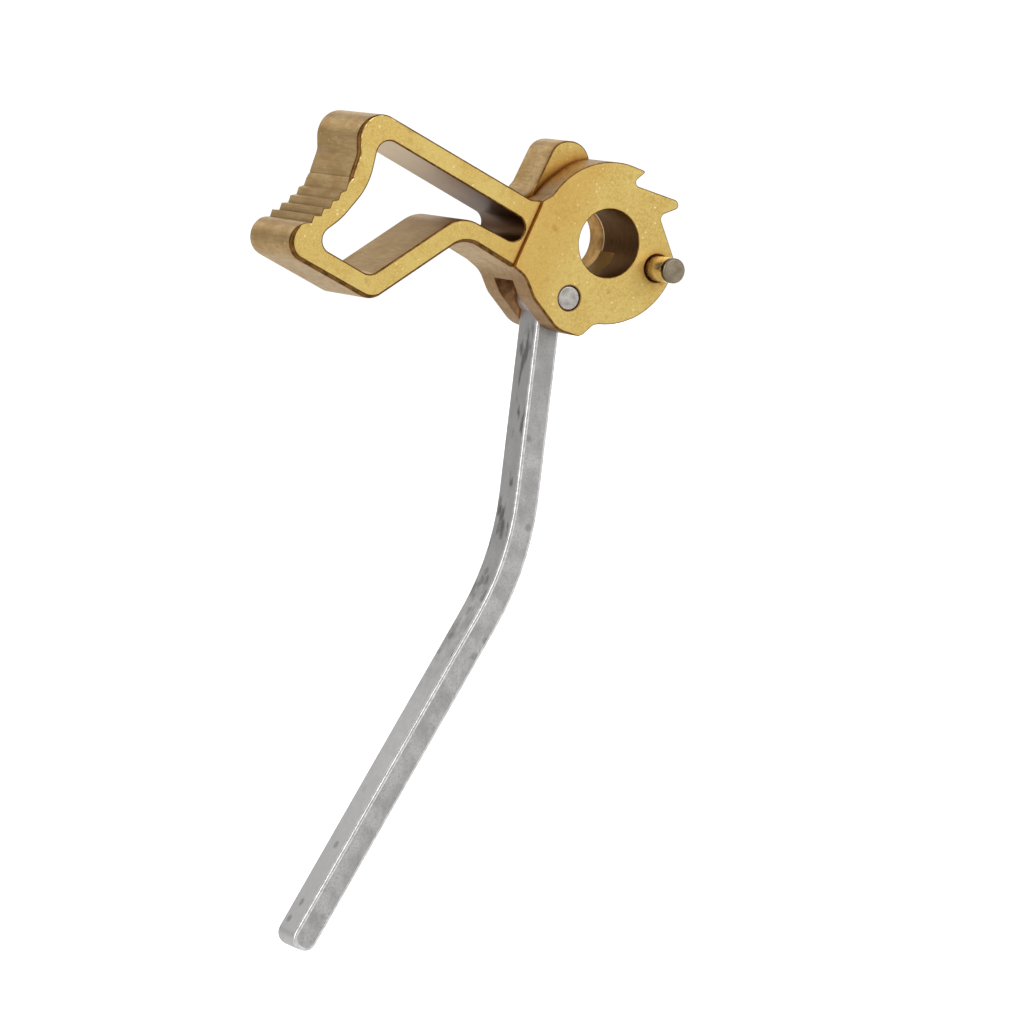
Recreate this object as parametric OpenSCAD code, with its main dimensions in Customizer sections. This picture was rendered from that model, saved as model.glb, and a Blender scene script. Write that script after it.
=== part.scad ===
// Skeletonised replica-pistol hammer with its hinged strut.
// One machined block (hub, lobe and open spur), two press-fitted steel pins and a bent flat strut.
//
// Frame: millimetres, +Z up, the pivot axis along Y, the front face (the one with the side pin)
// towards -Y, the spur towards -X. The origin is on the pivot axis, halfway through the hub.
// Every outline is drawn in the XZ plane as corners [x, z, rounding radius].

/* [Hub] */
// Thickness of the hub, front face to back face
hub_t = 7.15; // [6.8:0.05:7.6]
// Radius of the hub's round rim
hub_r = 5.95; // [5.85:0.01:6]
// Diameter of the pivot bore
bore_d = 5; // [4:0.1:5.2]
// Depth of the lobe's front face behind the hub's front face
lobe_setback = 3.43; // [2.5:0.01:4.5]

/* [Spur] */
// Step from each hub face down to the spur's face
spur_step = 0.2; // [0.1:0.05:0.4]
// Number of thumb serrations
serrations = 5; // [3:1:5]

/* [Strut slot] */
// Thickness of the front cheek
front_cheek = 2.25; // [2:0.05:2.6]
// Width of the slot between the cheeks
slot_w = 2.9; // [2.8:0.05:3.2]
// Wall of the bore's collar inside the slot
collar_wall = 0.5; // [0.3:0.05:0.6]
// How far the collar reaches into the slot
collar_w = 0.9; // [0.4:0.1:1.4]

/* [Pins] */
// Diameter of both pins
pin_d = 1.85; // [1.5:0.05:1.85]
// How far the side pin stands out of the front face
side_pin_out = 2.6; // [1:0.1:4]
// How deep the side pin sits in the front cheek
side_pin_in = 2.05; // [1:0.05:2.2]
// Diameter of the side pin's thicker shank, which is pressed into the cheek
shank_d = 2.22; // [2.2:0.01:2.3]
// Chamfer on the pins' ends
pin_chamfer = 0.14; // [0.05:0.01:0.3]
// How far the strut pin's ends lie below the hub's faces
pin_sink = 0.05; // [0:0.01:0.2]

/* [Strut] */
// Width of the strut, seen from the front
strut_w = 2; // [1.6:0.05:2.2]
// Sideways play of the strut in its slot, on each side
side_play = 0.05; // [0.03:0.01:0.1]
// Radius of the bend along the strut's middle line
bend_r = 21; // [12:1:24]
// Radius of the rounded eye around the strut pin
eye_r = 1.75; // [1.4:0.05:1.8]
// Radial clearance between the strut's eye and its pin
pin_play = 0.04; // [0.02:0.01:0.08]

/* [Hidden] */

arc_step = 5;    // degrees between the points of a rounded corner
cut = 1;         // how far a cutting solid runs past what it cuts
round_fn = 96;

front = -hub_t / 2;
back = hub_t / 2;
slot_front = front + front_cheek;
slot_back = slot_front + slot_w;
strut_front = slot_front + side_play;
strut_back = slot_back - side_play;

gold = [0.80, 0.68, 0.36];
steel = [0.66, 0.66, 0.64];

// Axes of the two pins, and the strut's middle line from its pin through the bend to its tip
strut_pin_at = [-3.32, -3.87];
side_pin_at = [4.05, -1.99];
strut_top = [-3.46, -3.8];
strut_bend = [-6.13, -23.5];
strut_tip = [-24.37, -50.5];
tip_r = 0.92;

// Line along which the hub's raised face ends, at the root of the spur
root_top = [-5.5, 3.31];
root_bottom = [-7.95, -1.4];

function unit(v) = v / norm(v);
function bearing(v) = atan2(v[1], v[0]);
function turn(a) = a > 180 ? a - 360 : a < -180 ? a + 360 : a;
function left_of(v) = [-v[1], v[0]];

// Points of the corner at b, between a and c, rounded with radius r
function corner(a, b, c, r) =
    let (u = unit(a - b), w = unit(c - b), half = acos(u * w) / 2,
         centre = b + unit(u + w) * r / sin(half),
         first = bearing(b + u * r / tan(half) - centre),
         sweep = turn(bearing(b + w * r / tan(half) - centre) - first),
         steps = max(2, ceil(abs(sweep) / arc_step)))
    [for (i = [0:steps]) let (a = first + sweep * i / steps) centre + r * [cos(a), sin(a)]];

// Closed outline with each corner [x, z, r] rounded; a corner with r = 0 stays sharp
function rounded(corners) =
    let (n = len(corners), at = [for (p = corners) [p[0], p[1]]])
    [for (i = [0:n - 1], p = corners[i][2] > 0
            ? corner(at[(i + n - 1) % n], at[i], at[(i + 1) % n], corners[i][2])
            : [at[i]]) p];

// Sharp points along a circle about the origin, from bearing a to bearing b
function arc(r, a, b) =
    let (steps = ceil(abs(b - a) / arc_step))
    [for (i = [0:steps]) let (t = a + (b - a) * i / steps) [r * cos(t), r * sin(t), 0]];

// Hub seen from the front, clockwise from the root of the spur: the round rim, the two hooked
// notches, the flank behind the side pin, the rim again, and the strut pin's rounded lug
hub_outline = concat(
    [[root_top[0], root_top[1], 0]],
    arc(hub_r, 142, 66),
    [[3.18, 5.14, 0.08], [1.9, 4.28, 0.33], [5.82, 2.92, 0.42], [5.97, 2.38, 0.3],
     [4.3, 1.86, 0.42], [5.6, -1.55, 0.4]],
    arc(hub_r, -22, -97),
    [[-1.25, -5.9, 0.8], [-2.38, -6.76, 0.85], [-4.3, -6.21, 2], [-6.29, -3.77, 1.8],
     [-6.98, -2.15, 2.2], [root_bottom[0], root_bottom[1], 0]]);

// Lobe on the back half of the hub
lobe_outline = [[0.3, 5, 0], [0.32, 7.34, 1.7], [-2.42, 7.34, 1.45], [-4.95, 2.8, 0], [-3, 2, 0]];

// Serrations: the root of tooth i lies on a shallow arc, and its riser runs from there up to the
// thumb side
serration_centre = [-29.02, 11.4];
serration_r = 10.23;
serration_start = -41.9;
serration_pitch = 4.93;
riser = [0.19, 0.5];
function root(i) = let (a = serration_start - serration_pitch * i)
    serration_centre + serration_r * [cos(a), sin(a)];
function sharp(p) = [p[0], p[1], 0];
serration_corners = [for (i = [0:serrations - 1])
    each concat([sharp(root(i))], i < serrations - 1 ? [sharp(root(i + 1) + riser)] : [])];

// Spur seen from the front, anticlockwise: two points inside the hub, the fillet at the root, the
// top corner, the thumb curve, the serrations, the rear corner, the lower corner and the neck
spur_outline = concat(
    [[-3.6, 1.5, 0], [-4.6, 3.2, 0], [-6.4, 3.42, 0.8], [-20.48, 11.21, 1.85],
     [-20.4, 7.15, 1.6], sharp(root(0) + riser)],
    serration_corners,
    [[-25.82, 2.45, 1.4], [-25.82, 0.13, 1.45], [-19.41, -3.41, 1.4], [-11.84, 0.84, 2.2],
     [-7.95, -1.45, 0], [-5.8, -1.8, 0]]);

// Window through the spur: three corners round the thumb side, the rear end, the low corner, the
// crest above the neck and the round end at the root
window_outline = [[-18.57, 8.47, 1], [-19.52, 4.83, 5], [-21.7, 2.58, 5], [-24.17, 1.03, 0.95],
    [-19.47, -1.615, 1.1], [-12.07, 2.51, 2.6], [-7.48, 0.17, 0.91], [-6.58, 1.77, 0.91]];

// Strut slot: open at the rear and at the bottom, closed above and in front of the strut pin
slot_outline = [[-11, -3.33, 0], [3.45, -0.8, 0.3], [2.1, -5.5, 0], [2.1, -9, 0], [-11, -9, 0]];

// Strut outline: two edges half a width either side of the middle line, and a rounded tip
upper_dir = unit(strut_bend - strut_top);
lower_dir = unit(strut_tip - strut_bend);
upper_side = left_of(upper_dir) * strut_w / 2;
lower_side = left_of(lower_dir) * strut_w / 2;
bend_side = (upper_side + lower_side) / (1 + unit(upper_side) * unit(lower_side));
function edge_corner(p, r) = [p[0], p[1], r];
strut_outline = [
    edge_corner(strut_top + upper_side, 0),
    edge_corner(strut_bend + bend_side, bend_r + strut_w / 2),
    edge_corner(strut_tip + lower_side, tip_r),
    edge_corner(strut_tip - lower_side, tip_r),
    edge_corner(strut_bend - bend_side, bend_r - strut_w / 2),
    edge_corner(strut_top - upper_side, 0)];

// Plate of the given outline from y0 to y1
module plate(corners, y0, y1) {
    translate([0, y1, 0])
        rotate([90, 0, 0])
            linear_extrude(y1 - y0)
                polygon(rounded(corners));
}

// Cylinder of diameter d about the Y direction through at = [x, z], from y0 to y1
module rod(at, d, y0, y1) {
    translate([at[0], y1, at[1]])
        rotate([90, 0, 0])
            cylinder(d = d, h = y1 - y0, $fn = round_fn);
}

// Pin about the Y direction with a chamfer on both ends
module chamfered_pin(at, y0, y1) {
    r = pin_d / 2;
    translate([at[0], y1, at[1]])
        rotate([90, 0, 0])
            rotate_extrude($fn = round_fn)
                polygon([[0, 0], [r - pin_chamfer, 0], [r, pin_chamfer],
                         [r, y1 - y0 - pin_chamfer], [r - pin_chamfer, y1 - y0], [0, y1 - y0]]);
}

// Shank of the side pin: flush with the front face, where a cone leads down to the pin
module shank() {
    cone = (shank_d - pin_d) / 2;
    length = side_pin_in - pin_chamfer;
    translate([side_pin_at[0], front + length, side_pin_at[1]])
        rotate([90, 0, 0])
            rotate_extrude($fn = round_fn)
                polygon([[0, 0], [shank_d / 2, 0], [shank_d / 2, length],
                         [pin_d / 2, length + cone], [0, length + cone]]);
}

// The slot between the cheeks, less the collar that is left standing round the bore
module strut_slot() {
    difference() {
        plate(slot_outline, slot_front, slot_back);
        rod([0, 0], bore_d + 2 * collar_wall, slot_front - cut, slot_front + collar_w);
    }
}

module hammer_body() {
    color(gold)
        difference() {
            union() {
                plate(hub_outline, front, back);
                plate(spur_outline, front + spur_step, back - spur_step);
                plate(lobe_outline, front + lobe_setback, back);
            }
            plate(window_outline, front - cut, back + cut);
            strut_slot();
            rod([0, 0], bore_d, front - cut, back + cut);
            rod(strut_pin_at, pin_d, front - cut, back + cut);
            rod(side_pin_at, shank_d, front - cut, front + side_pin_in);
        }
}

module strut_pin() {
    color(steel)
        chamfered_pin(strut_pin_at, front + pin_sink, back - pin_sink);
}

module side_pin() {
    color(steel) {
        chamfered_pin(side_pin_at, front - side_pin_out, front + side_pin_in);
        shank();
    }
}

module strut() {
    color(steel)
        difference() {
            union() {
                plate(strut_outline, strut_front, strut_back);
                rod(strut_pin_at, 2 * eye_r, strut_front, strut_back);
            }
            rod(strut_pin_at, pin_d + 2 * pin_play, strut_front - cut, strut_back + cut);
        }
}

hammer_body();
strut_pin();
side_pin();
strut();
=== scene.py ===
"""Looks of a skeletonised replica-pistol hammer with its hinged strut.

The CAD nodes are replaced by meshes with rounded edges, made from the same outlines as the CAD
model. Only the meshes have the fall of the rim beside the lobe, the bore's small step and the
shallow line above the serrations. Outlines are corners (x, z, rounding radius) in millimetres, seen
from the front. Every mesh is worked in millimetres and scaled to metres once it is finished.
"""
import math

import bmesh
import bpy
from mathutils import Matrix, Vector

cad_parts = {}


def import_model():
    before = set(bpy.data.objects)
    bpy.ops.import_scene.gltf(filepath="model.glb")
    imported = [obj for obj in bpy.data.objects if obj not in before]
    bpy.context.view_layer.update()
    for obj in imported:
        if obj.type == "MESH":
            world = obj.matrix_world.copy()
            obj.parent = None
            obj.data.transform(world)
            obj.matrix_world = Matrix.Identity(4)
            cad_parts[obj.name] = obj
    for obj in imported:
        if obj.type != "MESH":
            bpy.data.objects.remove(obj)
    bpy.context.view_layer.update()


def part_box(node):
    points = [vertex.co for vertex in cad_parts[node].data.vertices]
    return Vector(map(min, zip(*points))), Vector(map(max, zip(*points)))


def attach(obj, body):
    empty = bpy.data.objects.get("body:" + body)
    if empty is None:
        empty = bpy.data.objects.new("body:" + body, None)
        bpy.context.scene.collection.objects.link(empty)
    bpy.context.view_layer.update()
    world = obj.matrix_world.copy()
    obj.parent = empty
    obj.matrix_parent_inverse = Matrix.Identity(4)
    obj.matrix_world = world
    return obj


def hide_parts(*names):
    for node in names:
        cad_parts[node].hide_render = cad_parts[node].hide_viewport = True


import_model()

MM = 0.001
ARC_STEP = 4.0         # degrees between the points of a rounded corner
MAX_SEGMENT = 0.6      # mm, longest side between two points of an outline
EDGE_TURNS = [math.radians(t) for t in (0, 15, 38, 64, 90)]    # across a rounded edge
CUT = 1.0              # mm, how far a cutter runs past what it cuts

# ------------------------------------------------------------------ sizes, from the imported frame
hub_low, hub_high = (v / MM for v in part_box("hammer_body"))
side_low, side_high = (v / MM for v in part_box("side_pin"))
strut_low, strut_high = (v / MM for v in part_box("strut"))
pin_low, pin_high = (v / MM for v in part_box("strut_pin"))

FRONT = hub_low.y
BACK = hub_high.y
HUB_T = BACK - FRONT
PIN_R = (pin_high.x - pin_low.x) / 2
STRUT_PIN_AT = ((pin_low.x + pin_high.x) / 2, (pin_low.z + pin_high.z) / 2)
SIDE_PIN_AT = ((side_low.x + side_high.x) / 2, (side_low.z + side_high.z) / 2)
SHANK_R = (side_high.x - side_low.x) / 2
SIDE_PLAY = 0.05
SLOT_FRONT = strut_low.y - SIDE_PLAY
SLOT_BACK = strut_high.y + SIDE_PLAY
PIN_CHAMFER = 0.14
PIN_PLAY = 0.04
EYE_R = 1.75

HUB_R = 5.95
RIM_FALL = 0.38        # how far the rim falls away from its front edge to the lobe's face
RIM_FALL_BEHIND = 0.1  # from the hub's front face to where the fall starts
RIM_FALL_FROM = 93     # degrees, bearing of the fall's first point
RIM_FALL_TO = 141      # degrees, bearing of its last point before the spur's root
RIM_FALL_GROWS = 30    # degrees over which it grows to its full depth
BORE_R = 2.5
BORE_STEP = 0.05       # the back stretch of the bore is this much narrower
BORE_STEP_AT = 0.7     # of the hub's thickness
COLLAR_R = 3.0
COLLAR_W = 0.9
COLLAR_ROOT = 0.3      # how far the collar's mesh reaches into the front cheek
LOBE_SETBACK = 3.43    # from the hub's front face to the lobe's
APART = 0.02           # mm, keeps faces from lying in one plane, so that booleans stay clean
SPUR_STEP = 0.2        # from each hub face down to the spur's face
STRUT_W = 2.0
BEND_R = 21.0
TIP_R = 0.92

# Radii of the rounded edges that are the same all round
LOBE_EDGE = 0.1
WINDOW_EDGE = 0.12
PIN_HOLE_EDGE = 0.09
EYE_HOLE_EDGE = 0.06
BORE_EDGE = 0.08
STRUT_EDGE = 0.26

# Material slots of the hammer body's mesh; the plates' flat faces stay in the first
FACE, WALL, EDGE, RIM, BORE, WINDOW_WALL, SLOT_WALL = range(7)


# ------------------------------------------------------------------ outlines
def corner(a, b, c, r):
    """Points of the corner at b, between a and c, rounded with radius r."""
    u = (a - b).normalized()
    w = (c - b).normalized()
    half = math.acos(max(-1.0, min(1.0, u.dot(w)))) / 2
    centre = b + (u + w).normalized() * r / math.sin(half)
    first = b + u * r / math.tan(half) - centre
    last = b + w * r / math.tan(half) - centre
    start = math.atan2(first.y, first.x)
    sweep = math.atan2(last.y, last.x) - start
    sweep = (sweep + math.pi) % (2 * math.pi) - math.pi
    steps = max(3, math.ceil(abs(math.degrees(sweep)) / ARC_STEP))
    angles = [start + sweep * i / steps for i in range(steps + 1)]
    return [centre + r * Vector((math.cos(t), math.sin(t))) for t in angles]


def split_long(points):
    """The outline with its long straight stretches split into equal parts."""
    out = []
    for p, q in zip(points, points[1:] + points[:1]):
        parts = max(1, math.ceil((q - p).length / MAX_SEGMENT))
        out += [p.lerp(q, i / parts) for i in range(parts)]
    return out


def rounded(corners):
    """Closed anticlockwise outline with every corner (x, z, r) rounded."""
    at = [Vector(c[:2]) for c in corners]
    points = []
    for i, c in enumerate(corners):
        if c[2] > 0:
            points += corner(at[i - 1], at[i], at[(i + 1) % len(at)], c[2])
        else:
            points.append(at[i])
    area = sum(p.x * q.y - q.x * p.y for p, q in zip(points, points[1:] + points[:1]))
    if area < 0:
        points.reverse()
    return split_long(points)


def arc(r, a, b):
    """Sharp corners along a circle about the bore, from bearing a to bearing b in degrees."""
    steps = math.ceil(abs(b - a) / ARC_STEP)
    angles = [math.radians(a + (b - a) * i / steps) for i in range(steps + 1)]
    return [(r * math.cos(t), r * math.sin(t), 0) for t in angles]


def circle(at, r, sides=96):
    """Closed anticlockwise circle of radius r about at."""
    angles = [2 * math.pi * i / sides for i in range(sides)]
    return [Vector((at[0] + r * math.cos(t), at[1] + r * math.sin(t))) for t in angles]


def outward(points):
    """Outward mitre vector at every point of an anticlockwise outline."""
    out = []
    for i, p in enumerate(points):
        before = (p - points[i - 1]).normalized()
        after = (points[(i + 1) % len(points)] - p).normalized()
        n1 = Vector((before.y, -before.x))
        n2 = Vector((after.y, -after.x))
        out.append((n1 + n2) / max(0.35, 1 + n1.dot(n2)))
    return out


ROOT_TOP = (-5.5, 3.31)
ROOT_BOTTOM = (-7.95, -1.4)

ROOT_ACROSS = Vector((ROOT_TOP[1] - ROOT_BOTTOM[1], ROOT_BOTTOM[0] - ROOT_TOP[0])).normalized()
ROOT_AT = ROOT_ACROSS.dot(Vector(ROOT_TOP))     # mm, the root line's distance along ROOT_ACROSS

HUB = ([(*ROOT_TOP, 0)] + arc(HUB_R, 142, 66)
       + [(3.18, 5.14, 0.12), (1.9, 4.28, 0.33), (5.82, 2.92, 0.42), (5.97, 2.38, 0.3),
          (4.3, 1.86, 0.42), (5.6, -1.55, 0.4)]
       + arc(HUB_R, -22, -97)
       + [(-1.25, -5.9, 0.8), (-2.38, -6.76, 0.85), (-4.3, -6.21, 2), (-6.29, -3.77, 1.8),
          (-6.98, -2.15, 2.2), (*ROOT_BOTTOM, 0)])

LOBE = [(0.3, 5, 0), (0.32, 7.34, 1.7), (-2.42, 7.34, 1.45), (-4.95, 2.8, 0), (-3, 2, 0)]

SERRATIONS = 5
SERRATION_CENTRE = Vector((-29.02, 11.4))    # of the shallow arc that the roots lie on
SERRATION_R = 10.23
SERRATION_START = -41.9                      # degrees, bearing of the first root
SERRATION_PITCH = 4.93                       # degrees from one root to the next
RISER = Vector((0.19, 0.5))                  # from a root up to the thumb side
THUMB_LOW = Vector((-20.4, 7.15))            # lower end of the thumb curve
LINE_ABOVE = 0.45                            # mm, from the first riser up to the shallow line
LINE_HALF = 0.07                             # half the line's width
LINE_DEPTH = 0.05


def serration_root(i):
    """Root of serration i, on the thumb side's shallow arc."""
    t = math.radians(SERRATION_START - SERRATION_PITCH * i)
    return SERRATION_CENTRE + SERRATION_R * Vector((math.cos(t), math.sin(t)))


def serrations():
    """Corners of the shallow line and the serrations, from the thumb curve down."""
    first = serration_root(0) + RISER
    along = (THUMB_LOW - first).normalized()
    line = first + along * LINE_ABOVE
    out = [(*(line + along * LINE_HALF), 0), (line.x + LINE_DEPTH, line.y, 0),
           (*(line - along * LINE_HALF), 0), (*first, 0)]
    for i in range(SERRATIONS):
        out.append((*serration_root(i), 0))
        if i < SERRATIONS - 1:
            out.append((*(serration_root(i + 1) + RISER), 0))
    return out


SPUR = ([(-3.6, 1.5, 0), (-4.6, 3.19, 0), (-6.4, 3.42, 0.8), (-20.48, 11.21, 1.85),
         (*THUMB_LOW, 1.2)]
        + serrations()
        + [(-25.82, 2.45, 1.4), (-25.82, 0.13, 1.45), (-19.41, -3.41, 1.4), (-11.84, 0.84, 2.2),
           (-7.95, -1.45, 0), (-5.8, -1.8, 0)])

WINDOW = [(-18.57, 8.47, 1), (-19.52, 4.83, 5), (-21.7, 2.58, 5), (-24.17, 1.03, 0.95),
          (-19.47, -1.615, 1.1), (-12.07, 2.51, 2.6), (-7.48, 0.17, 0.91), (-6.58, 1.77, 0.91)]

SLOT = [(-11, -3.33, 0), (3.45, -0.8, 0.3), (2.1, -5.5, 0), (2.1, -9, 0), (-11, -9, 0)]

STRUT_TOP = Vector((-3.46, -3.8))
STRUT_BEND = Vector((-6.13, -23.5))
STRUT_TIP = Vector((-24.37, -50.5))


def strut_corners():
    """The strut's two edges, half a width either side of its middle line, and its round tip."""
    upper = (STRUT_BEND - STRUT_TOP).normalized()
    lower = (STRUT_TIP - STRUT_BEND).normalized()
    upper_side = Vector((-upper.y, upper.x))
    lower_side = Vector((-lower.y, lower.x))
    bend_side = (upper_side + lower_side) / (1 + upper_side.dot(lower_side))
    half = STRUT_W / 2
    return [(*(STRUT_TOP + upper_side * half), 0),
            (*(STRUT_BEND + bend_side * half), BEND_R + half),
            (*(STRUT_TIP + lower_side * half), TIP_R),
            (*(STRUT_TIP - lower_side * half), TIP_R),
            (*(STRUT_BEND - bend_side * half), BEND_R - half),
            (*(STRUT_TOP - upper_side * half), 0)]


# ------------------------------------------------------------------ how round each edge is
def ease(t):
    """Smooth step from 0 to 1 as t goes from 0 to 1."""
    t = max(0.0, min(1.0, t))
    return t * t * (3 - 2 * t)


def spur_edge(p, n):
    """Edge radius round the spur: broad at the thumb side and below, fine at the serrations."""
    low_rear = n.dot(Vector((-0.83, -0.56)))
    radius = 0.12 + 0.17 * ease((low_rear + 0.5) / 1.3)
    top = serration_root(0).y + RISER.y
    bottom = serration_root(SERRATIONS - 1).y
    near_teeth = min(ease((top + 0.35 - p.y) / 0.3), ease((p.y - bottom + 0.25) / 0.2))
    rear = ease((-20.3 - p.x) / 0.3)
    return radius + (0.05 - radius) * near_teeth * rear


def hub_edge(p, n):
    """Edge radius round the hub: broader along the cheeks' lower rear rim."""
    low_rear = n.dot(Vector((-0.8, -0.6)))
    return 0.075 + 0.085 * ease(low_rear / 0.8) * ease((-2.5 - p.x) / 1.5)


def even(radius):
    """The same edge radius everywhere."""
    return lambda p, n: radius


# ------------------------------------------------------------------ meshes
def new_object(name, mesh):
    obj = bpy.data.objects.new(name, mesh)
    bpy.context.scene.collection.objects.link(obj)
    return obj


def stack(name, rings, slots):
    """Closed mesh through equal rings of points, slots[i] above ring i, caps in the first slot."""
    bm = bmesh.new()
    rows = [[bm.verts.new(p) for p in ring] for ring in rings]
    for low, high, slot in zip(rows, rows[1:], slots):
        for i in range(len(low)):
            j = (i + 1) % len(low)
            face = bm.faces.new((low[i], low[j], high[j], high[i]))
            face.material_index = slot
    bm.faces.new(reversed(rows[0]))
    bm.faces.new(rows[-1])
    bmesh.ops.recalc_face_normals(bm, faces=bm.faces)
    mesh = bpy.data.meshes.new(name)
    bm.to_mesh(mesh)
    bm.free()
    return new_object(name, mesh)


def plate(name, points, y0, y1, edge, wall=WALL, rim=EDGE, highlight=RIM):
    """Plate of an outline from y0 to y1 with rounded edges; edge(point, normal) is their radius."""
    mitres = outward(points)
    radii = [edge(p, m.normalized()) for p, m in zip(points, mitres)]

    def ring(y, inward, t):
        out = []
        for p, m, r in zip(points, mitres, radii):
            q = p - m * r * (1 - math.sin(t))
            out.append((q.x, y + inward * r * (1 - math.cos(t)), q.y))
        return out

    rings = [ring(y0, 1, t) for t in EDGE_TURNS] + [ring(y1, -1, t) for t in EDGE_TURNS[::-1]]
    edges = [highlight] + [rim] * (len(EDGE_TURNS) - 2)
    return stack(name, rings, edges + [wall] + edges[::-1])


def prism(name, points, y0, y1, slot):
    """Plain plate of an outline from y0 to y1 with sharp edges, all in one slot."""
    rings = [[(p.x, y, p.y) for p in points] for y in (y0, y1)]
    obj = stack(name, rings, [slot])
    for face in obj.data.polygons:
        face.material_index = slot
    return obj


def cutter(points, y0, y1, edge, wall, rim=EDGE):
    """Cutter through a plate from y0 to y1 that leaves rounded edges of radius edge."""
    mitres = outward(points)

    def ring(y, out):
        return [((p + m * out).x, y, (p + m * out).y) for p, m in zip(points, mitres)]

    flare = [(edge * (1 - math.sin(t)), edge * (1 - math.cos(t))) for t in EDGE_TURNS]
    rings = [ring(y0 - CUT, edge)] + [ring(y0 + d, o) for o, d in flare]
    rings += [ring(y1 - d, o) for o, d in reversed(flare)] + [ring(y1 + CUT, edge)]
    slots = [rim] * len(EDGE_TURNS) + [wall] + [rim] * len(EDGE_TURNS)
    return stack("cutter", rings, slots)


def lathe(name, at, profile, slots, sides=96):
    """Closed turned solid about the Y direction through at, from (radius, y) points."""
    rings = []
    for r, y in profile:
        rings.append([(p.x, y, p.y) for p in circle(at, r, sides)])
    return stack(name, rings, slots)


def combine(base, operation, tool):
    """Applies tool to base as a boolean and removes the tool."""
    mod = base.modifiers.new("combine", "BOOLEAN")
    mod.operation = operation
    mod.solver = "EXACT"
    mod.object = tool
    bpy.context.view_layer.update()
    graph = bpy.context.evaluated_depsgraph_get()
    mesh = bpy.data.meshes.new_from_object(base.evaluated_get(graph))
    base.modifiers.clear()
    old = base.data
    base.data = mesh
    bpy.data.meshes.remove(old)
    bpy.data.objects.remove(tool)


def clad(obj, materials):
    """Gives a mesh its material slots; every solid of one boolean has the same ones."""
    for material in materials:
        obj.data.materials.append(material)
    return obj


def finished(obj, name, body, replaced, smooth_angle=50):
    """Scales a mesh to metres, shades it and makes it stand for its CAD node."""
    obj.name = name
    obj.data.name = name
    obj.data.transform(Matrix.Scale(MM, 4))
    obj.data.shade_smooth()
    obj.data.set_sharp_from_angle(angle=math.radians(smooth_angle))
    weighted = obj.modifiers.new("weighted_normals", "WEIGHTED_NORMAL")
    weighted.mode = "FACE_AREA"
    weighted.weight = 100
    weighted.keep_sharp = True
    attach(obj, body)
    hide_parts(replaced)
    return obj


def hammer_body(materials):
    """Hub, spur and lobe joined, with the window, slot, bore and pin holes cut out."""
    body = clad(plate("hub", rounded(HUB), FRONT, BACK, hub_edge, highlight=EDGE), materials)
    combine(body, "DIFFERENCE", clad(rim_relief(), materials))
    spur = plate("spur", rounded(SPUR), FRONT + SPUR_STEP, BACK - SPUR_STEP, spur_edge)
    lobe = plate("lobe", rounded(LOBE), FRONT + LOBE_SETBACK, BACK - APART, even(LOBE_EDGE),
                 highlight=EDGE)
    window = cutter(rounded(WINDOW), FRONT + SPUR_STEP, BACK - SPUR_STEP, WINDOW_EDGE,
                    WINDOW_WALL)
    slot = prism("slot", rounded(SLOT), SLOT_FRONT, SLOT_BACK, SLOT_WALL)
    collar = prism("collar", circle((0, 0), COLLAR_R), SLOT_FRONT - COLLAR_ROOT,
                   SLOT_FRONT + COLLAR_W, SLOT_WALL)
    strut_hole = cutter(circle(STRUT_PIN_AT, PIN_R), FRONT, BACK, PIN_HOLE_EDGE, BORE, WALL)
    for operation, tool in (("UNION", spur), ("UNION", lobe), ("DIFFERENCE", window),
                            ("DIFFERENCE", slot), ("UNION", collar), ("DIFFERENCE", bore_cutter()),
                            ("DIFFERENCE", strut_hole), ("DIFFERENCE", side_hole_cutter())):
        combine(body, operation, clad(tool, materials))
    return finished(body, "hammer_block", "hammer", "hammer_body")


def rim_relief():
    """Cutter that lets the rim fall away between the hub's face and the lobe's, most at the spur."""
    just_outside = Vector(ROOT_TOP) * 1.002
    inside_spur = just_outside + Vector((-0.4, -0.15))
    rim = [Vector(c[:2]) for c in arc(HUB_R, RIM_FALL_FROM, RIM_FALL_TO)]
    rim += [just_outside, inside_spur]
    outer = [p + CUT * p.normalized() for p in reversed(rim)]
    front = [p + APART * p.normalized() for p in rim]
    back = []
    for p in rim:
        bearing = math.degrees(math.atan2(p.y, p.x))
        fall = RIM_FALL * ease((bearing - RIM_FALL_FROM) / RIM_FALL_GROWS)
        back.append(p - fall * p.normalized())
    ends = ((FRONT + RIM_FALL_BEHIND, front), (FRONT + LOBE_SETBACK + APART, back))
    rings = [[(p.x, y, p.y) for p in inner + outer] for y, inner in ends]
    return stack("relief", rings, [WALL])


def bore_cutter():
    """Cutter for the pivot bore: rounded mouths and a small step towards the back."""
    mouth = BORE_EDGE
    step_y = FRONT + HUB_T * BORE_STEP_AT
    back_r = BORE_R - BORE_STEP
    profile = [(BORE_R + mouth, FRONT - CUT), (BORE_R + mouth, FRONT),
               (BORE_R + mouth * 0.3, FRONT + mouth * 0.3), (BORE_R, FRONT + mouth),
               (BORE_R, step_y), (back_r, step_y + BORE_STEP), (back_r, BACK - mouth),
               (back_r + mouth * 0.3, BACK - mouth * 0.3), (back_r + mouth, BACK),
               (back_r + mouth, BACK + CUT)]
    return lathe("bore", (0, 0), profile, [EDGE, EDGE, EDGE, BORE, RIM, BORE, EDGE, EDGE, EDGE])


def side_hole_cutter():
    """Blind hole for the side pin, with a chamfered mouth as wide as the pin's shank."""
    r = PIN_R + APART
    profile = [(SHANK_R, FRONT - CUT), (SHANK_R, FRONT), (r, FRONT + PIN_CHAMFER),
               (r, side_high.y)]
    return lathe("side_hole", SIDE_PIN_AT, profile, [EDGE, EDGE, BORE])


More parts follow.
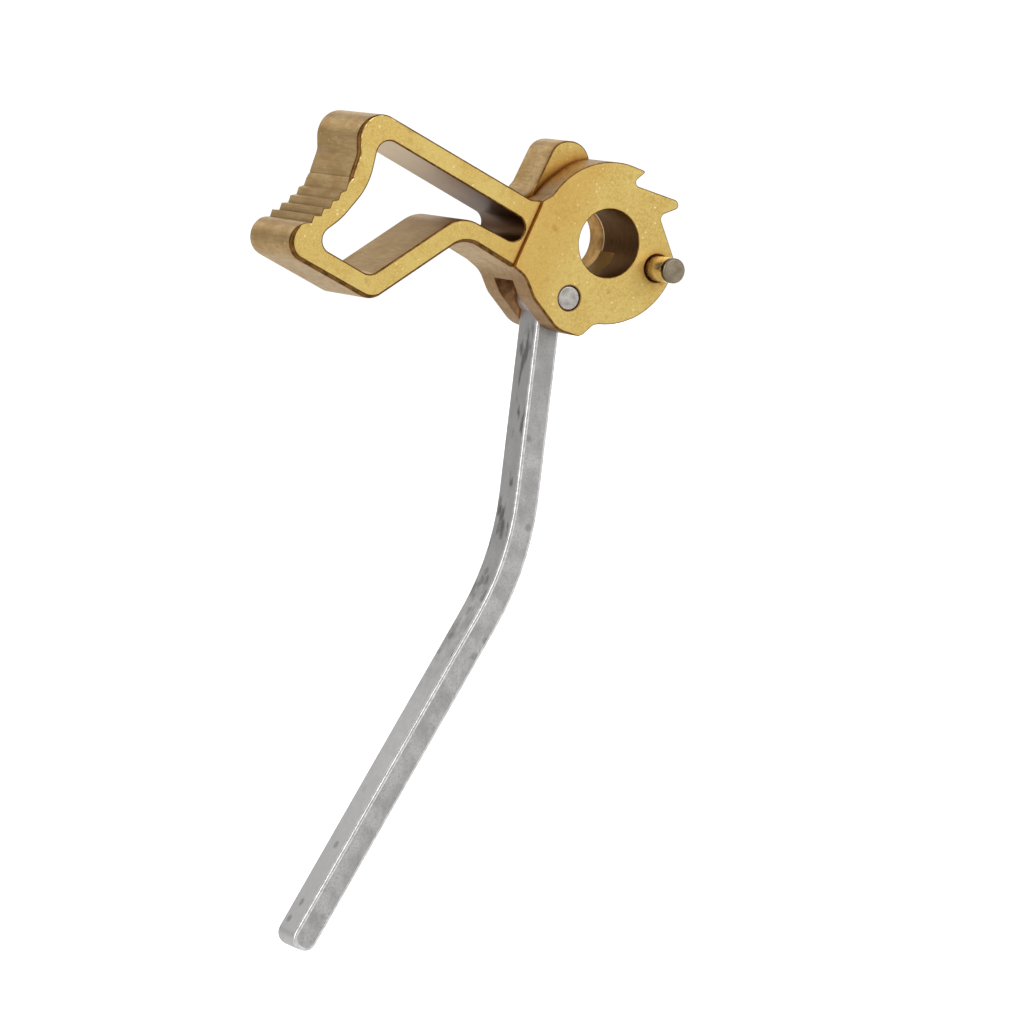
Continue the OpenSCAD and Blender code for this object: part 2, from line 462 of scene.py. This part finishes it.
def pin(name, node, at, y0, y1, material):
    """Turned pin with a rounded chamfer on both ends."""
    c = PIN_CHAMFER
    nose = [(PIN_R - c, 0), (PIN_R - 0.75 * c, 0.1 * c), (PIN_R - 0.1 * c, 0.75 * c), (PIN_R, c)]
    profile = [(r, y0 + d) for r, d in nose] + [(r, y1 - d) for r, d in reversed(nose)]
    obj = lathe(name, at, profile, [0] * (len(profile) - 1), 72)
    return finished(clad(obj, [material]), name, "hammer", node, 35)


def strut(materials):
    """Bent bar and its eye joined, with the pin's hole cut out; its rounded edges are polished."""
    edge = even(STRUT_EDGE)
    bar = plate("bar", rounded(strut_corners()), strut_low.y, strut_high.y, edge, 0, 1, 1)
    eye = plate("eye", circle(STRUT_PIN_AT, EYE_R), strut_low.y, strut_high.y, edge, 0, 1, 1)
    hole = cutter(circle(STRUT_PIN_AT, PIN_R + PIN_PLAY), strut_low.y, strut_high.y,
                  EYE_HOLE_EDGE, 0, 1)
    clad(bar, materials)
    combine(bar, "UNION", clad(eye, materials))
    combine(bar, "DIFFERENCE", clad(hole, materials))
    return finished(bar, "strut_bar", "strut_arm", "strut")


# ------------------------------------------------------------------ materials
class Graph:
    """A material's node tree, with a short way to add nodes to it."""

    def __init__(self, name, metallic, roughness, grazing=(1, 1, 1)):
        self.material = bpy.data.materials.new(name)
        self.material.use_nodes = True
        self.tree = self.material.node_tree
        self.shader = self.tree.nodes["Principled BSDF"]
        self.shader.inputs["Metallic"].default_value = metallic
        self.shader.inputs["Roughness"].default_value = roughness
        self.shader.inputs["Specular Tint"].default_value = (*grazing, 1)
        coordinates = self.tree.nodes.new("ShaderNodeTexCoord")
        self.place = coordinates.outputs["Object"]

    def put(self, socket, value):
        if isinstance(value, bpy.types.NodeSocket):
            self.tree.links.new(value, socket)
        else:
            socket.default_value = value

    def node(self, kind, **inputs):
        node = self.tree.nodes.new(kind)
        for name, value in inputs.items():
            self.put(node.inputs[name.replace("_", " ")], value)
        return node

    def noise(self, size_mm, detail=2.0, place=None):
        """Noise whose lumps are about size_mm across, from 0 to 1."""
        node = self.node("ShaderNodeTexNoise", Scale=1 / (size_mm * MM), Detail=detail,
                         Vector=place or self.place)
        return node.outputs["Fac"]

    def ramp(self, value, low, high, out_low=0.0, out_high=1.0):
        node = self.node("ShaderNodeMapRange", Value=value, From_Min=low, From_Max=high,
                         To_Min=out_low, To_Max=out_high)
        node.interpolation_type = "SMOOTHSTEP"
        return node.outputs["Result"]

    def times(self, a, b):
        node = self.tree.nodes.new("ShaderNodeMath")
        node.operation = "MULTIPLY"
        self.put(node.inputs[0], a)
        self.put(node.inputs[1], b)
        return node.outputs[0]

    def mix(self, factor, a, b):
        """Colour a where factor is 0 and b where it is 1."""
        node = self.tree.nodes.new("ShaderNodeMix")
        node.data_type = "RGBA"
        self.put(node.inputs[0], factor)
        self.put(node.inputs[6], a)
        self.put(node.inputs[7], b)
        return node.outputs[2]

    def along(self, x, z, low_mm, high_mm, y=0):
        """0 to 1 as the distance along a direction goes from low_mm to high_mm."""
        node = self.tree.nodes.new("ShaderNodeVectorMath")
        node.operation = "DOT_PRODUCT"
        self.put(node.inputs[0], self.place)
        self.put(node.inputs[1], (x, y, z))
        return self.ramp(node.outputs["Value"], low_mm * MM, high_mm * MM)

    def axis(self, name, low_mm, high_mm):
        """0 to 1 as the position along one axis goes from low_mm to high_mm."""
        x, y, z = (float(name == letter) for letter in "XYZ")
        return self.along(x, z, low_mm, high_mm, y)

    def crease_shade(self, reach_mm):
        """1 in creases narrower than reach_mm, 0 in the open; the mask that paints shade into
        creases.
        """
        node = self.node("ShaderNodeAmbientOcclusion", Distance=reach_mm * MM)
        node.samples = 8
        return self.ramp(node.outputs["AO"], 1.0, 0.3)

    def specks(self, cell_mm, share):
        """1 in a few round specks, in about this share of the cells, and 0 elsewhere."""
        cells = self.node("ShaderNodeTexVoronoi", Scale=1 / (cell_mm * MM), Vector=self.place)
        pick = self.node("ShaderNodeSeparateColor", Color=cells.outputs["Color"])
        chosen = self.ramp(pick.outputs["Red"], 1 - share, 1 - 0.8 * share)
        return self.times(chosen, self.ramp(cells.outputs["Distance"], 0.45, 0.2))

    def bump(self, height, depth_mm):
        node = self.node("ShaderNodeBump", Height=height, Distance=depth_mm * MM)
        return node.outputs["Normal"]

    def finish(self, colour, roughness=None, normal=None):
        self.put(self.shader.inputs["Base Color"], colour)
        if roughness is not None:
            self.put(self.shader.inputs["Roughness"], roughness)
        if normal is not None:
            self.put(self.shader.inputs["Normal"], normal)
        return self.material


def srgb(r, g, b):
    """Linear colour from 8-bit sRGB values."""
    linear = [((v / 255 + 0.055) / 1.055) ** 2.4 if v > 10 else v / 3295 for v in (r, g, b)]
    return (*linear, 1)


BROWN_SHEEN = (0.92, 0.82, 0.68)     # brown tint that a glancing reflection keeps on the painted-dark edges, the bore and the slot
# Rust-brown and brown painted shade, laid into creases
RUST_SHADE = srgb(128, 72, 18)
CREASE_SHADE_BROWN = srgb(90, 58, 24)


def gold_face():
    """Bead-blasted gold: fine grain, faint mottling, bright specks as painted sparkle glints, and
    painted shade from orange to rust-brown in the creases.
    """
    g = Graph("gold_face", 0.95, 0.42)
    grain = g.noise(0.13, 3)
    colour = g.mix(g.ramp(g.noise(2.6, 3), 0.38, 0.68), srgb(208, 181, 104), srgb(200, 167, 90))
    colour = g.mix(g.times(g.ramp(grain, 0.35, 0.62), 0.6), colour, srgb(220, 196, 124))
    colour = g.mix(g.times(g.ramp(g.noise(0.45, 4), 0.52, 0.7), 0.4), colour, srgb(188, 150, 76))
    # Bright specks: painted sparkle glints
    colour = g.mix(g.times(g.specks(0.26, 0.05), 0.6), colour, srgb(245, 228, 168))
    colour = g.mix(g.times(g.specks(0.9, 0.05), 0.35), colour, srgb(128, 88, 40))
    near_root = g.times(g.along(*ROOT_ACROSS, ROOT_AT - 4, ROOT_AT - 0.5),
                        g.along(*ROOT_ACROSS, ROOT_AT + 5, ROOT_AT + 2))
    near_root = g.times(near_root, g.axis("Y", -2, -3))
    colour = g.mix(g.times(near_root, 0.4), colour, srgb(196, 150, 70))
    # Orange to rust-brown painted shade, darker the narrower the crease
    colour = g.mix(g.times(g.crease_shade(2.6), 0.6), colour, srgb(186, 126, 44))
    colour = g.mix(g.times(g.crease_shade(0.9), 0.7), colour, srgb(150, 84, 26))
    colour = g.mix(g.crease_shade(0.32), colour, RUST_SHADE)
    roughness = g.ramp(g.noise(0.3, 3), 0.35, 0.65, 0.36, 0.5)
    return g.finish(colour, roughness, g.bump(grain, 0.01))


def wall_colour(g, marks):
    """Duller, browner gold of the machined walls, with bright specks as painted glints and painted
    shade darkening the corners.
    """
    colour = g.mix(g.ramp(g.noise(1.8, 4), 0.35, 0.68), srgb(204, 172, 118), srgb(188, 152, 94))
    colour = g.mix(g.times(g.ramp(marks, 0.42, 0.65), 0.45), colour, srgb(168, 134, 82))
    # Bright specks: painted glints
    colour = g.mix(g.times(g.specks(0.3, 0.04), 0.5), colour, srgb(226, 208, 160))
    # Brown painted shade in the corners
    return g.mix(g.crease_shade(0.4), colour, CREASE_SHADE_BROWN)


def tool_marks(g):
    """Fine lines along the thickness, as a cutter leaves them on a side wall."""
    across = g.node("ShaderNodeMapping", Vector=g.place, Scale=(1, 0.12, 1)).outputs[0]
    return g.noise(0.18, 3, across)


def gold_wall():
    """Outer side walls of the hammer body, with painted shade deep in recesses and where the rim
    meets the spur's root.
    """
    g = Graph("gold_wall", 0.95, 0.4)
    marks = tool_marks(g)
    # Dark brown painted shade deep in recesses
    colour = g.mix(g.times(g.crease_shade(3.2), 0.8), wall_colour(g, marks), srgb(112, 76, 38))
    # Darker brown painted shade on the rim wall where it meets the spur's root
    rim = g.times(g.times(g.axis("X", -6.2, -5), g.axis("Z", 2.5, 3.4)), g.axis("Y", 0.4, -0.1))
    colour = g.mix(g.times(rim, 0.42), colour, srgb(112, 74, 36))
    cheek = g.times(g.axis("X", -9, -7.5), g.axis("Z", -1, -2.5))
    colour = g.mix(g.times(cheek, 0.6), colour, srgb(138, 98, 58))
    roughness = g.ramp(g.noise(0.35, 3), 0.35, 0.65, 0.34, 0.48)
    return g.finish(colour, roughness, g.bump(marks, 0.01))


def window_wall():
    """Walls of the spur's window: paler upper walls as painted light, and painted shade darkening
    them to nearly black in its narrow end.
    """
    g = Graph("window_wall", 1.0, 0.4)
    marks = tool_marks(g)
    # Upper walls painted paler: painted light
    pale = g.mix(g.times(g.axis("Z", 2.8, 3.6), 0.6), wall_colour(g, marks), srgb(240, 220, 186))
    # Darker towards the narrow end, nearly black in it: painted shade
    colour = g.mix(g.axis("X", -17.5, -9.5), pale, srgb(156, 122, 84))
    colour = g.mix(g.axis("X", -11, -7.8), colour, srgb(100, 66, 30))
    return g.finish(colour, normal=g.bump(marks, 0.01))


def gold_edge():
    """Rounded edges painted dark brown as painted shade, the dark that the bevels reflect; a
    rust-brown painted shade line at the root's step.
    """
    g = Graph("gold_edge", 1.0, 0.38, BROWN_SHEEN)
    # Dark brown: painted shade of what the rounded edges reflect
    colour = g.mix(g.ramp(g.noise(0.5, 4), 0.38, 0.66), srgb(134, 94, 50), srgb(92, 62, 28))
    colour = g.mix(g.times(g.ramp(g.noise(0.12, 2), 0.55, 0.72), 0.4), colour, srgb(168, 138, 80))
    # Rust-brown line in the concave corner at the root's step: painted shade
    root = g.times(g.along(*ROOT_ACROSS, ROOT_AT - 0.16, ROOT_AT - 0.06),
                   g.along(*ROOT_ACROSS, ROOT_AT + 0.3, ROOT_AT + 0.15))
    root = g.times(root, g.axis("Y", -3, -3.2))
    return g.finish(g.mix(root, colour, srgb(138, 80, 24)), normal=g.bump(g.noise(0.12, 2), 0.006))


def rim_highlight():
    """Innermost line of the spur's edge and the bore's ledge: a painted highlight at the thumb
    curve, broken up by noise, and on the ledge; dark brown painted shade elsewhere.
    """
    g = Graph("rim_highlight", 0.9, 0.28)
    thumb = g.times(g.axis("X", -16.5, -17.8), g.axis("Z", 4.2, 5.4))
    bore = g.axis("X", -4, -3)
    highlight_breakup = g.ramp(g.noise(0.35, 3), 0.42, 0.58)
    dark = g.mix(g.ramp(g.noise(0.4, 3), 0.4, 0.65), srgb(112, 84, 44), srgb(88, 62, 30))
    # Painted highlight at the thumb curve, broken up by noise
    bright = g.mix(highlight_breakup, srgb(176, 142, 80), srgb(240, 220, 160))
    colour = g.mix(thumb, dark, bright)
    # Near-white painted highlight on the bore's ledge
    return g.finish(g.mix(bore, colour, srgb(252, 236, 204)))


def bore_wall():
    """Inside of the bore and the pin holes: dark brown painted shade in front, lighter brown painted
    light behind the ledge.
    """
    g = Graph("bore_wall", 1.0, 0.38, BROWN_SHEEN)
    behind = g.axis("Y", FRONT + HUB_T * BORE_STEP_AT - 0.1, FRONT + HUB_T * BORE_STEP_AT + 0.1)
    streaks = g.node("ShaderNodeMapping", Vector=g.place, Scale=(1, 6, 1)).outputs[0]
    colour = g.mix(g.ramp(g.noise(0.7, 4, streaks), 0.35, 0.65), srgb(92, 60, 30), srgb(70, 44, 20))
    light = g.mix(g.ramp(g.noise(0.6, 4), 0.35, 0.65), srgb(206, 164, 104), srgb(178, 134, 78))
    # Dark front as painted shade, lighter back stretch as painted light
    colour = g.mix(behind, colour, light)
    return g.finish(colour, normal=g.bump(g.noise(0.2, 3, streaks), 0.008))


def slot_wall():
    """Inside of the strut's slot: brown at the rear, painted lighter as painted light where the bore
    opens into it.
    """
    g = Graph("slot_wall", 1.0, 0.42, BROWN_SHEEN)
    brown = g.mix(g.ramp(g.noise(0.6, 4), 0.35, 0.65), srgb(200, 156, 112), srgb(160, 118, 78))
    # Painted light where the bore opens into the slot
    colour = g.mix(g.axis("X", -2.6, -0.8), brown, srgb(243, 222, 178))
    return g.finish(colour, normal=g.bump(g.noise(0.2, 3), 0.01))


def pin_steel():
    """Bright turned steel with a light haze and turning marks."""
    g = Graph("pin_steel", 1.0, 0.3)
    colour = g.mix(g.ramp(g.noise(0.5, 4), 0.36, 0.68), srgb(196, 192, 186), srgb(166, 160, 152))
    colour = g.mix(g.times(g.specks(0.6, 0.1), 0.5), colour, srgb(98, 88, 78))
    roughness = g.ramp(g.noise(0.25, 4), 0.35, 0.65, 0.2, 0.4)
    return g.finish(colour, roughness, g.bump(g.noise(0.15, 3), 0.006))


def side_pin_steel():
    """Steel of the side pin: worn brown-grey end, a dark band behind it as a painted dark
    reflection, and its wall painted gold as a painted reflection of the hammer's face, darker near
    the foot.
    """
    g = Graph("side_pin_steel", 1.0, 0.3)
    worn = g.mix(g.ramp(g.noise(0.5, 4), 0.36, 0.68), srgb(152, 140, 120), srgb(126, 114, 95))
    gold_reflection = g.mix(g.ramp(g.noise(0.5, 4), 0.36, 0.68), srgb(255, 244, 214), srgb(248, 222, 176))
    # Dark band behind the chamfer: painted dark reflection
    colour = g.mix(g.axis("Y", side_low.y + 0.12, side_low.y + 0.2), worn, srgb(104, 86, 60))
    # Gold wall: painted reflection of the hammer's face
    colour = g.mix(g.axis("Y", side_low.y + 0.35, side_low.y + 0.55), colour, gold_reflection)
    # Darker brown-gold towards the pin's foot, within the painted reflection
    foot = g.axis("Y", side_low.y + 1.5, side_low.y + 2.0)
    colour = g.mix(g.times(foot, 0.6), colour, srgb(150, 112, 62))
    roughness = g.ramp(g.noise(0.25, 4), 0.35, 0.65, 0.24, 0.42)
    return g.finish(colour, roughness, g.bump(g.noise(0.15, 3), 0.006))


def strut_steel():
    """Tumbled grey steel: fine speckle, lengthwise smears, a few dark handling marks and painted
    light on the side and back faces.
    """
    g = Graph("strut_steel", 0.9, 0.4)
    along = g.node("ShaderNodeMapping", Vector=g.place, Scale=(1, 1, 0.7)).outputs[0]
    mottle = g.ramp(g.noise(1.2, 5, along), 0.36, 0.66)
    colour = g.mix(mottle, srgb(190, 188, 186), srgb(166, 164, 163))
    colour = g.mix(g.times(g.axis("Z", -18, -9), 0.5), colour, srgb(150, 148, 146))
    colour = g.mix(g.times(g.ramp(g.noise(0.16, 3), 0.45, 0.7), 0.55), colour, srgb(142, 140, 139))
    # Side and back faces painted lighter, fully on the lower stretch and half on the upper: painted
    # light
    side = g.axis("Y", strut_low.y + 0.15, strut_low.y + 0.25)
    low_side = g.times(side, g.axis("Z", -26, -36))
    colour = g.mix(low_side, colour, srgb(205, 204, 203))
    upper_side = g.times(side, g.axis("Z", -33, -20))
    colour = g.mix(g.times(upper_side, 0.5), colour, srgb(202, 201, 200))
    lengthwise = g.node("ShaderNodeMapping", Vector=g.place, Scale=(1, 1, 0.4)).outputs[0]
    blotch = g.ramp(g.noise(1.3, 4, lengthwise), 0.5, 0.6)
    colour = g.mix(g.times(g.times(blotch, upper_side), 0.8), colour, srgb(100, 98, 98))
    colour = g.mix(g.times(g.specks(0.9, 0.1), 0.45), colour, srgb(104, 102, 101))
    roughness = g.ramp(g.noise(0.5, 4), 0.35, 0.65, 0.32, 0.5)
    return g.finish(colour, roughness, g.bump(g.noise(0.14, 3), 0.01))


def strut_edge():
    """Rounded edges of the strut, polished by tumbling and painted near white as a painted
    highlight.
    """
    g = Graph("strut_edge", 1.0, 0.26)
    colour = g.mix(g.ramp(g.noise(0.4, 4), 0.36, 0.64), srgb(240, 239, 238), srgb(214, 212, 210))
    return g.finish(colour)


def floor_material():
    """Pale floor, with a glow that only the camera sees, so that it reads as white."""
    g = Graph("pale_floor", 0.0, 0.9)
    g.shader.inputs["Emission Color"].default_value = (1, 1, 1, 1)
    path = g.node("ShaderNodeLightPath")
    glow = g.ramp(path.outputs["Is Camera Ray"], 0, 1, 0.0, 0.7)
    g.put(g.shader.inputs["Emission Strength"], glow)
    return g.finish(g.mix(g.noise(60.0), (0.87, 0.87, 0.87, 1), (0.89, 0.89, 0.89, 1)))


# ------------------------------------------------------------------ stage, camera and lights
FLOOR_Z = -0.072
FLOOR_R = 0.7
AIM = Vector((-5.98, 0.26, -19.86)) * MM
CAMERA_AZIMUTH = -28.82
CAMERA_ELEVATION = 7.61
CAMERA_DISTANCE = 0.3685
LENS_MM = 175.8
SENSOR_MM = 36


def direction(azimuth, elevation):
    """Unit vector from the part towards a bearing; azimuth 0 is in front, in -Y."""
    a = math.radians(azimuth)
    e = math.radians(elevation)
    return Vector((math.sin(a) * math.cos(e), -math.cos(a) * math.cos(e), math.sin(e)))


def looking(obj, away, target, distance):
    """Puts obj at distance from target, with its -Z axis towards it."""
    obj.location = target + away * distance
    obj.rotation_euler = away.to_track_quat("Z", "Y").to_euler()
    bpy.context.scene.collection.objects.link(obj)


def camera():
    data = bpy.data.cameras.new("camera")
    data.lens = LENS_MM
    data.sensor_width = SENSOR_MM
    data.clip_start = 0.01
    data.clip_end = 20
    obj = bpy.data.objects.new("camera", data)
    looking(obj, direction(CAMERA_AZIMUTH, CAMERA_ELEVATION), AIM, CAMERA_DISTANCE)
    bpy.context.scene.camera = obj


def soft_light(name, azimuth, elevation, distance, width, height, power):
    data = bpy.data.lights.new(name, "AREA")
    data.shape = "RECTANGLE"
    data.size = width
    data.size_y = height
    data.energy = power
    looking(bpy.data.objects.new(name, data), direction(azimuth, elevation), Vector(), distance)


def lights():
    soft_light("front_key", 20, 25, 0.8, 0.6, 0.6, 2.35)
    soft_light("left_strip", -66, 12, 0.7, 0.12, 0.8, 1.15)
    soft_light("overhead", 0, 88, 1.0, 1.4, 1.4, 2.0)
    soft_light("rear_left", -160, 34, 0.9, 0.5, 0.5, 0.45)
    soft_light("rear_fill", 140, 35, 0.9, 0.7, 0.7, 1.0)


def world():
    """White to the camera, and a softer, dimmer white as a light on the part."""
    scene_world = bpy.data.worlds.new("studio")
    scene_world.use_nodes = True
    tree = scene_world.node_tree
    background = tree.nodes["Background"]
    background.inputs["Color"].default_value = (1, 1, 1, 1)
    path = tree.nodes.new("ShaderNodeLightPath")
    strength = tree.nodes.new("ShaderNodeMapRange")
    strength.inputs["To Min"].default_value = 0.5
    strength.inputs["To Max"].default_value = 1.05
    tree.links.new(path.outputs["Is Camera Ray"], strength.inputs["Value"])
    tree.links.new(strength.outputs["Result"], background.inputs["Strength"])
    bpy.context.scene.world = scene_world
    bpy.context.scene.view_settings.view_transform = "Standard"


def floor():
    mesh = bpy.data.meshes.new("floor")
    bm = bmesh.new()
    bmesh.ops.create_circle(bm, cap_ends=True, segments=64, radius=FLOOR_R)
    bm.to_mesh(mesh)
    bm.free()
    mesh.materials.append(floor_material())
    obj = new_object("floor", mesh)
    obj.location.z = FLOOR_Z


# ------------------------------------------------------------------ the scene
camera()
lights()
world()
floor()
hammer_body([gold_face(), gold_wall(), gold_edge(), rim_highlight(), bore_wall(), window_wall(),
             slot_wall()])
pin("strut_pin_bar", "strut_pin", STRUT_PIN_AT, pin_low.y, pin_high.y, pin_steel())
pin("side_pin_bar", "side_pin", SIDE_PIN_AT, side_low.y, side_high.y, side_pin_steel())
strut([strut_steel(), strut_edge()])
